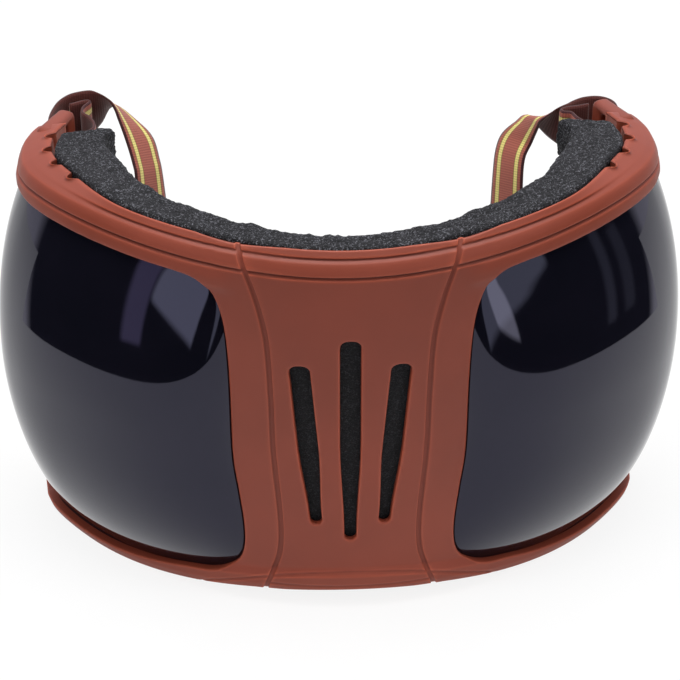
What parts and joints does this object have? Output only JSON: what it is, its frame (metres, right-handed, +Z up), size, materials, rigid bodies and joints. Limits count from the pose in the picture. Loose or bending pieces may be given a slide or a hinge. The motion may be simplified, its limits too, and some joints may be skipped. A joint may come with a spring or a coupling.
{
  "type": "horse goggles",
  "caption": "Wrap-around horse goggles: soft moulded frame with nose vents, smoked dome lenses, foam gasket and webbing straps with a side-release buckle.",
  "frame": {"origin": "on the table under the middle of the whole part, at the centre of its bounding box's underside", "axes": "+X from nose to the wearer-side right arm as the picture shows it, to the image's right; +Y back, away from the nose, out of the open side; +Z up from the bottom rim to the top rim"},
  "size_m": [0.2882, 0.1808, 0.174],
  "materials": {
    "frame": "satin moulded soft polyurethane",
    "lens": "polished smoked polycarbonate",
    "foam": "coarse open-cell foam, cut",
    "filter_foam": "fine reticulated foam",
    "webbing": "woven elastic webbing with two woven stripes",
    "thread": "twisted sewing thread",
    "buckle": "moulded acetal, fine matt texture"
  },
  "bodies": {
    "center": {"nose_frame": "frame", "nose_foam_top": "foam", "nose_foam_bottom": "foam", "vent_filter": "filter_foam"},
    "right_wing": {"right_wing_frame": "frame", "right_lens": "lens", "right_foam_top": "foam", "right_foam_bottom": "foam", "right_foam_rear": "foam"},
    "left_wing": {"left_wing_frame": "frame", "left_lens": "lens", "left_foam_top": "foam", "left_foam_bottom": "foam", "left_foam_rear": "foam"},
    "right_strap_half": {"right_strap": "webbing", "right_strap_stitching": "thread", "buckle_socket": "buckle"},
    "left_strap_half": {"left_strap": "webbing", "left_strap_stitching": "thread", "buckle_plug": "buckle"},
    "right_prong": {"buckle_prong_right": "buckle"},
    "left_prong": {"buckle_prong_left": "buckle"},
    "keeper": {"strap_keeper": "buckle"}
  },
  "joints": [
    {"name": "right_wing_flex", "type": "hinge", "parent": "center", "child": "right_wing", "pos_m": [0.03165, -0.07872, 0.085], "axis": [0, 0, -1], "range_deg": [-6, 10], "stiffness_Nm_per_rad": 0.5},
    {"name": "left_wing_flex", "type": "hinge", "parent": "center", "child": "left_wing", "pos_m": [-0.03165, -0.07872, 0.085], "axis": [0, 0, 1], "range_deg": [-6, 10], "stiffness_Nm_per_rad": 0.5},
    {"name": "right_strap_swing", "type": "hinge", "parent": "right_wing", "child": "right_strap_half", "pos_m": [0.11793, 0.04908, 0.15], "axis": [0, 0, -1], "range_deg": [0, 45]},
    {"name": "left_strap_swing", "type": "hinge", "parent": "left_wing", "child": "left_strap_half", "pos_m": [-0.11793, 0.04908, 0.15], "axis": [0, 0, 1], "range_deg": [0, 45]},
    {"name": "right_prong_press", "type": "hinge", "parent": "left_strap_half", "child": "right_prong", "pos_m": [-0.03805, -0.00066, 0.0045], "axis": [0, 0, -1], "range_deg": [0, 8], "stiffness_Nm_per_rad": 0.05},
    {"name": "left_prong_press", "type": "hinge", "parent": "left_strap_half", "child": "left_prong", "pos_m": [-0.06133, -0.01201, 0.0045], "axis": [0, 0, 1], "range_deg": [0, 8], "stiffness_Nm_per_rad": 0.05},
    {"name": "keeper_slide", "type": "slide", "parent": "left_strap_half", "child": "keeper", "axis": [0.4384, -0.8988, 0], "range_m": [-0.014, 0.004]}
  ],
  "couplings": [
    {"joint": "left_prong_press", "follows": "right_prong_press", "ratio": 1}
  ]
}
